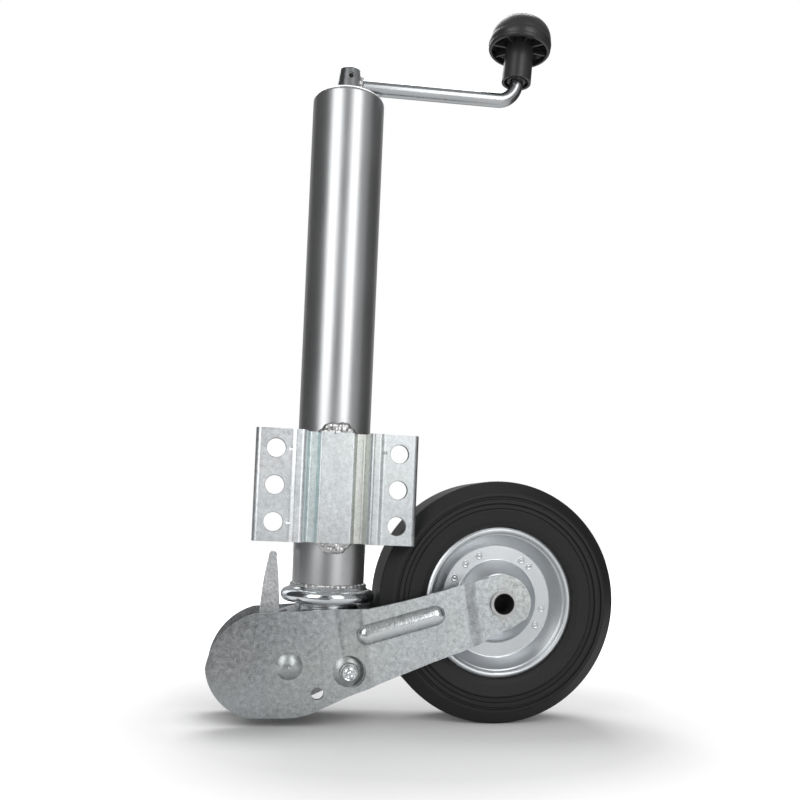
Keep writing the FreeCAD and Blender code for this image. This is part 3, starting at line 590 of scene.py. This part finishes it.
make_world()
area_lamp("key_softbox", (-0.95, -1.0, 0.78), (-0.07, 0, 0.35), 0.70, 1.2, 6.5)
area_lamp("fill_softbox", (0.42, -1.25, 0.78), (-0.07, 0, 0.35), 0.60, 1.2, 6)
area_lamp("back_softbox", (0.0, 0.75, 1.5), (0, 0, 0.05), 1.0, 1.0, 14)

# %% [markdown]
# Bright metal only looks like metal when it has something dark to reflect. Two dark
# cards beside the set and one on the floor in front give the tube its dark edges, and
# a narrow one behind the camera parts its two bright bands, as in a studio. Only
# reflections see them, so they never show in the picture.

# %% Dark cards for the reflections
CARD_LEVEL = 0.05
CARD_TOP = 1.3


def dark_card(name, corners):
    mesh = bpy.data.meshes.new(name)
    mesh.from_pydata([(x, y, z - AXLE.z) for x, y, z in corners], [], [(0, 1, 2, 3)])
    card = bpy.data.objects.new(name, mesh)
    bpy.context.scene.collection.objects.link(card)
    shader = Shader(name + "_cloth")
    mesh.materials.append(shader.finish(base_color=(CARD_LEVEL, CARD_LEVEL, CARD_LEVEL, 1), roughness=1.0))
    card.visible_camera = card.visible_diffuse = card.visible_shadow = False
    card.visible_transmission = False
    sink_with_wheel(card)


for name, x, y0, y1 in (("left_card", -0.80, -0.35, 0.9), ("right_card", 0.95, -0.35, 0.9)):
    dark_card(name, [(x, y0, 0.01), (x, y1, 0.01), (x, y1, CARD_TOP), (x, y0, CARD_TOP)])
dark_card("middle_card", [(-0.47, -1.2, 0.25), (-0.14, -1.2, 0.25), (-0.14, -1.2, 1.2), (-0.47, -1.2, 1.2)])
dark_card("floor_card", [(-1, -1.7, 0.004), (-0.06, -1.7, 0.004), (-0.06, -0.27, 0.004), (-1, -0.27, 0.004)])

# %% [markdown]
# Pressed plates never have knife edges: the shear rolls one side over and leaves a
# small burr on the other. The plate's mesh is copied, its loose triangles are merged
# into faces, and a bevel rounds only the edges that turn sharply.

# %% Softened sheet edges
SHARP = math.radians(38)


def link(name, mesh):
    thing = bpy.data.objects.new(name, mesh)
    bpy.context.scene.collection.objects.link(thing)
    return thing


def bake(piece):
    """Apply every modifier by taking the evaluated mesh."""
    graph = bpy.context.evaluated_depsgraph_get()
    mesh = bpy.data.meshes.new_from_object(piece.evaluated_get(graph))
    piece.modifiers.clear()
    piece.data = mesh
    return mesh


def soften(node, name, width, material=None):
    """A copy of a CAD node with rounded edges, which stands in for it on the same body."""
    mesh = nodes[node].data.copy()
    work = bmesh.new()
    work.from_mesh(mesh)
    bmesh.ops.remove_doubles(work, verts=work.verts, dist=2e-6)
    flat = math.radians(0.6)
    bmesh.ops.dissolve_limit(work, angle_limit=flat, verts=work.verts, edges=work.edges)
    work.to_mesh(mesh)
    work.free()
    mesh.polygons.foreach_set("use_smooth", [True] * len(mesh.polygons))
    mesh.set_sharp_from_angle(angle=SHARP)
    piece = link(name, mesh)
    bevel = piece.modifiers.new("rolled_edge", "BEVEL")
    bevel.width = width
    bevel.segments = 3
    bevel.limit_method = "ANGLE"
    bevel.angle_limit = SHARP
    bevel.use_clamp_overlap = True
    even = piece.modifiers.new("even_shading", "WEIGHTED_NORMAL")
    even.keep_sharp = True
    rounded = bake(piece)
    rounded.materials.clear()
    rounded.materials.append(material or FINISH[slot_of[node]])
    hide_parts(node)
    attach(piece, next(b for b, members in frame["record"]["behaviour"]["bodies"].items()
                        if node in members))
    print(name, len(rounded.polygons), "faces")
    return piece


soften("mount_bracket", "folded_bracket", 1.1 * MM, BRACKET_FINISH)
for side in ("near", "far"):
    soften("cheek_" + side, "pressed_cheek_" + side, 0.7 * MM, CHEEK_FINISH)
soften("lock_lever", "cast_lever", 1.6 * MM)
soften("head_block", "forged_head", 1.0 * MM)

# %% [markdown]
# A weld is a row of overlapping puddles. Geometry Nodes lay balls along a
# path with a little change in size, and the joined heap is remeshed and
# smoothed, so the puddles melt into one rippled bead.

# %% Weld beads from a path
def weld_tree():
    """Balls along a path, a little different in size, as one mesh with its finish."""
    tree = bpy.data.node_groups.new("weld_puddles", "GeometryNodeTree")
    face = tree.interface
    face.new_socket("Geometry", in_out="INPUT", socket_type="NodeSocketGeometry")
    for name, value in (("Spacing", 1.6 * MM), ("Puddle", 4 * MM), ("Change", 0.2)):
        face.new_socket(name, in_out="INPUT", socket_type="NodeSocketFloat").default_value = value
    face.new_socket("Seed", in_out="INPUT", socket_type="NodeSocketInt")
    face.new_socket("Finish", in_out="INPUT", socket_type="NodeSocketMaterial")
    face.new_socket("Geometry", in_out="OUTPUT", socket_type="NodeSocketGeometry")
    make = tree.nodes.new
    wire = tree.links.new
    inside, outside = make("NodeGroupInput"), make("NodeGroupOutput")
    curve, points = make("GeometryNodeMeshToCurve"), make("GeometryNodeResampleCurve")
    points.mode = "LENGTH"
    ball, spread = make("GeometryNodeMeshIcoSphere"), make("GeometryNodeInstanceOnPoints")
    ball.inputs["Subdivisions"].default_value = 3
    size, low, high = make("FunctionNodeRandomValue"), make("ShaderNodeMath"), make("ShaderNodeMath")
    low.operation, high.operation = "SUBTRACT", "ADD"
    low.inputs[0].default_value = high.inputs[0].default_value = 1
    solid, skin = make("GeometryNodeRealizeInstances"), make("GeometryNodeSetMaterial")
    wire(inside.outputs["Geometry"], curve.inputs["Mesh"])
    wire(curve.outputs["Curve"], points.inputs["Curve"])
    wire(inside.outputs["Spacing"], points.inputs["Length"])
    wire(inside.outputs["Puddle"], ball.inputs["Radius"])
    wire(inside.outputs["Change"], low.inputs[1])
    wire(inside.outputs["Change"], high.inputs[1])
    wire(low.outputs[0], size.inputs[2])
    wire(high.outputs[0], size.inputs[3])
    wire(inside.outputs["Seed"], size.inputs["Seed"])
    wire(points.outputs["Curve"], spread.inputs["Points"])
    wire(ball.outputs["Mesh"], spread.inputs["Instance"])
    wire(size.outputs[1], spread.inputs["Scale"])
    wire(spread.outputs["Instances"], solid.inputs["Geometry"])
    wire(solid.outputs["Geometry"], skin.inputs["Geometry"])
    wire(inside.outputs["Finish"], skin.inputs["Material"])
    wire(skin.outputs["Geometry"], outside.inputs["Geometry"])
    return tree


WELD_TREE = weld_tree()


def node_inputs(modifier, values):
    """Sets a modifier's inputs by name, through their identifiers."""
    for item in modifier.node_group.interface.items_tree:
        if item.in_out == "INPUT" and item.name in values:
            modifier[item.identifier] = values[item.name]


def weld(name, path, puddle, body, node, seed, closed=False, spacing=1.5 * MM, grain=0.45 * MM):
    mesh = bpy.data.meshes.new(name)
    edges = [(i, i + 1) for i in range(len(path) - 1)]
    if closed:
        edges.append((len(path) - 1, 0))
    mesh.from_pydata([tuple(p) for p in path], edges, [])
    piece = link(name, mesh)
    modifier = piece.modifiers.new("puddles", "NODES")
    modifier.node_group = WELD_TREE
    node_inputs(modifier, {"Spacing": spacing, "Puddle": puddle, "Change": 0.22, "Seed": seed,
                           "Finish": FINISH["weld_bead"]})
    melt = piece.modifiers.new("melt", "REMESH")
    melt.mode = "VOXEL"
    melt.voxel_size = grain
    calm = piece.modifiers.new("calm", "SMOOTH")
    calm.factor, calm.iterations = 0.5, 2
    made = bake(piece)
    made.polygons.foreach_set("use_smooth", [True] * len(made.polygons))
    made.materials.clear()
    made.materials.append(FINISH["weld_bead"])
    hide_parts(node)
    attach(piece, body)
    print(name, len(made.polygons), "faces")
    return piece


# %% [markdown]
# The wheel's two discs are held together by spot welds: each electrode leaves a shallow
# ring with a small pip. The marks are turned from one profile and set at their angles.

# %% Spot weld marks on the wheel discs
SPOT_ANGLES = (113, 132, 153, 59, 47, -8, -29)
SPOT_CIRCLE = 41.4 * MM
SPOT_PROFILE = [(0, 0.30), (0.7, 0.28), (1.1, 0.04), (1.9, 0.02), (2.3, 0.30), (2.9, 0.26), (3.4, -0.25)]
DISC_FACE = 13.6 * MM


def spot_mark_tree():
    """Instance the mark on each point of the pattern, as one mesh with its finish."""
    tree = bpy.data.node_groups.new("spot_marks", "GeometryNodeTree")
    face = tree.interface
    face.new_socket("Geometry", in_out="INPUT", socket_type="NodeSocketGeometry")
    face.new_socket("Mark", in_out="INPUT", socket_type="NodeSocketObject")
    face.new_socket("Finish", in_out="INPUT", socket_type="NodeSocketMaterial")
    face.new_socket("Geometry", in_out="OUTPUT", socket_type="NodeSocketGeometry")
    inside, outside = tree.nodes.new("NodeGroupInput"), tree.nodes.new("NodeGroupOutput")
    source = tree.nodes.new("GeometryNodeObjectInfo")
    spread = tree.nodes.new("GeometryNodeInstanceOnPoints")
    solid, skin = tree.nodes.new("GeometryNodeRealizeInstances"), tree.nodes.new("GeometryNodeSetMaterial")
    for start, end in ((inside.outputs["Geometry"], spread.inputs["Points"]),
                       (inside.outputs["Mark"], source.inputs["Object"]),
                       (source.outputs["Geometry"], spread.inputs["Instance"]),
                       (spread.outputs["Instances"], solid.inputs["Geometry"]),
                       (solid.outputs["Geometry"], skin.inputs["Geometry"]),
                       (inside.outputs["Finish"], skin.inputs["Material"]),
                       (skin.outputs["Geometry"], outside.inputs["Geometry"])):
        tree.links.new(start, end)
    return tree


def turned_face(name, profile, side, count=28):
    """A profile of (radius, rise) points in mm, turned about Y, that faces one side."""
    work = bmesh.new()
    rings = []
    for radius, rise in profile:
        turns = count if radius else 1
        angles = [2 * math.pi * i / turns for i in range(turns)]
        rings.append([work.verts.new((radius * MM * math.cos(a), side * rise * MM,
                                      radius * MM * math.sin(a))) for a in angles])
    for inner, outer in zip(rings, rings[1:]):
        for i in range(count):
            j = (i + 1) % count
            corners = [outer[i], outer[j]] + ([inner[j], inner[i]] if len(inner) > 1 else [inner[0]])
            work.faces.new(corners)
    bmesh.ops.recalc_face_normals(work, faces=work.faces)
    mesh = bpy.data.meshes.new(name)
    work.to_mesh(mesh)
    work.free()
    if mesh.polygons[0].normal.y * side < 0:
        mesh.flip_normals()
    mesh.polygons.foreach_set("use_smooth", [True] * len(mesh.polygons))
    return mesh


SPOT_TREE = spot_mark_tree()
for side, side_name in ((-1, "near"), (1, "far")):
    stamp = link("spot_stamp_" + side_name, turned_face("spot_mark", SPOT_PROFILE, side))
    mesh = bpy.data.meshes.new("spot_points_" + side_name)
    mesh.from_pydata([(AXLE.x + SPOT_CIRCLE * math.cos(math.radians(a)), AXLE.y + side * DISC_FACE,
                       AXLE.z + SPOT_CIRCLE * math.sin(math.radians(a))) for a in SPOT_ANGLES], [], [])
    marks = link("spot_welds_" + side_name, mesh)
    modifier = marks.modifiers.new("marks", "NODES")
    modifier.node_group = SPOT_TREE
    node_inputs(modifier, {"Mark": stamp, "Finish": RIM_FINISH})
    bake(marks)
    bpy.data.objects.remove(stamp)
    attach(marks, "wheel")
    print("spot_welds_" + side_name, len(marks.data.polygons), "faces")

# %% [markdown]
# The fork's bolt ends in a pressed drive recess: a rim, a cupped ring and a small pip.
# It is turned from one profile as the spot welds are, because it is round and shows only
# its face, and it rides on the fork with the bolt.

# %% Drive recess of the fork bolt
RECESS_PROFILE = [(0, 1.0), (0.9, 0.9), (1.5, 0.2), (2.3, 0.15), (2.7, 1.1), (3.6, 1.3), (4.1, 0.5),
                  (4.8, 0.4), (5.3, 1.2), (5.8, 0.9), (5.95, -0.4)]
bolt_low, bolt_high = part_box("fork_bolt")
recess = turned_face("bolt_recess", RECESS_PROFILE, -1, 40)
recess.transform(Matrix.Translation(((bolt_low.x + bolt_high.x) / 2, bolt_low.y + 0.05 * MM,
                                     (bolt_low.z + bolt_high.z) / 2)))
recess.materials.append(FINISH["bright_zinc"])
recess_piece = link("bolt_recess", recess)
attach(recess_piece, "fork")

# %% [markdown]
# The knob's lid is a deep dome, nearly a rounded box in section, that snaps over the
# shoulder of the body. A fine seam runs round it below its top. A superellipse gives
# the section with one number for its squareness, and turning it makes the dome.

# %% Knob lid
LID_RADIUS = 27.1
LID_FOOT = -10.0
LID_RISE = 22.0
LID_SQUARENESS = 2.6
SEAM_HEIGHT = 6.0
SEAM_DEPTH = 0.4
KNOB_LEAN = math.radians(3.5)
LID_SEAT = 20.6


def lid_outline(steps=44):
    power = 2 / LID_SQUARENESS
    points = []
    for i in range(steps + 1):
        turn = math.pi / 2 * i / steps
        radius = LID_RADIUS * max(math.cos(turn), 0) ** power if i < steps else 0
        height = LID_FOOT + LID_RISE * math.sin(turn) ** power
        if abs(height - SEAM_HEIGHT) < 0.5:
            radius -= SEAM_DEPTH
        points.append((radius, height))
    points.insert(0, (LID_RADIUS - 0.9, LID_FOOT))
    return points[::-1]


lid_profile = lid_outline()
lid_low, lid_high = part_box("knob_cap")
lid = turned_face("knob_lid", lid_profile, 1, 72)
lid_place = Vector(((lid_low.x + lid_high.x) / 2, (lid_low.y + lid_high.y) / 2,
                    lid_low.z + LID_SEAT * MM * math.sin(KNOB_LEAN)))
lid.transform(Matrix.Translation(lid_place) @ Matrix.Rotation(KNOB_LEAN, 4, "Y")
              @ Matrix.Rotation(math.pi / 2, 4, "X"))
lid.materials.append(FINISH["knob_plastic"])
lid_piece = link("knob_lid", lid)
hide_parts("knob_cap")
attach(lid_piece, "knob")
print("knob_lid", len(lid.polygons), "faces")

# %% [markdown]
# Four welds show: two heavy ones hold the bracket's band to the tube, one runs round the
# ring's top and one round the crank arm's root. Each gets a path on the surface that it
# joins, read from the CAD's own weld, and the tree above lays the puddles.

# %% Weld paths and beads
def ring_path(centre, radius, height, count=96):
    return [Vector((centre.x + radius * math.cos(a), centre.y + radius * math.sin(a), height))
            for a in (2 * math.pi * i / count for i in range(count))]


def bracket_weld_path(node, lean):
    """Three short rows beside each other make the heavy weld over the band's end."""
    low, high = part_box(node)
    centre = (low + high) / 2
    reach = (high.x - low.x) / 2 - 3.6 * MM
    path = []
    for row, share in ((0, 1.0), (1, 0.8), (2, 0.5)):
        height = centre.z + lean * (row * 2.6 - 1.6) * MM
        for i in range(13):
            along = (i / 6 - 1) * reach * share * (1 if row % 2 == 0 else -1)
            bow = 1 - (along / (reach * 1.25)) ** 2
            depth = math.sqrt(max((30 * MM) ** 2 - along ** 2, 0))
            path.append(Vector((centre.x + along, TUBE_AXIS.y - depth - 0.4 * MM,
                                height + lean * bow * 1.5 * MM)))
    return path


weld("bracket_weld_top", bracket_weld_path("bracket_weld_upper", 1), 3.3 * MM, "outer",
     "bracket_weld_upper", 3)
weld("bracket_weld_foot", bracket_weld_path("bracket_weld_lower", -1), 3.3 * MM, "outer",
     "bracket_weld_lower", 8)
ring_weld_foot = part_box("ring_weld")[0].z
weld("ring_weld_bead", ring_path(TUBE_AXIS, 30.2 * MM, ring_weld_foot + 1.0 * MM), 1.7 * MM, "outer",
     "ring_weld", 5, closed=True, spacing=1.3 * MM, grain=0.4 * MM)

crank_low, crank_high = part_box("crank_weld")
crank_seam = (crank_low + crank_high) / 2
seam_radius = (crank_high.z - crank_low.z) / 2 - 1.6 * MM
crank_path = [Vector((crank_seam.x, crank_seam.y + seam_radius * math.cos(a),
                      crank_seam.z + seam_radius * math.sin(a)))
              for a in (2 * math.pi * i / 24 for i in range(24))]
weld("crank_weld_bead", crank_path, 2.1 * MM, "crank", "crank_weld", 11, closed=True, grain=0.35 * MM)

# %% [markdown]
# The scene is shown as written, with the plain view transform.

# %% View transform
bpy.context.scene.view_settings.view_transform = "Standard"
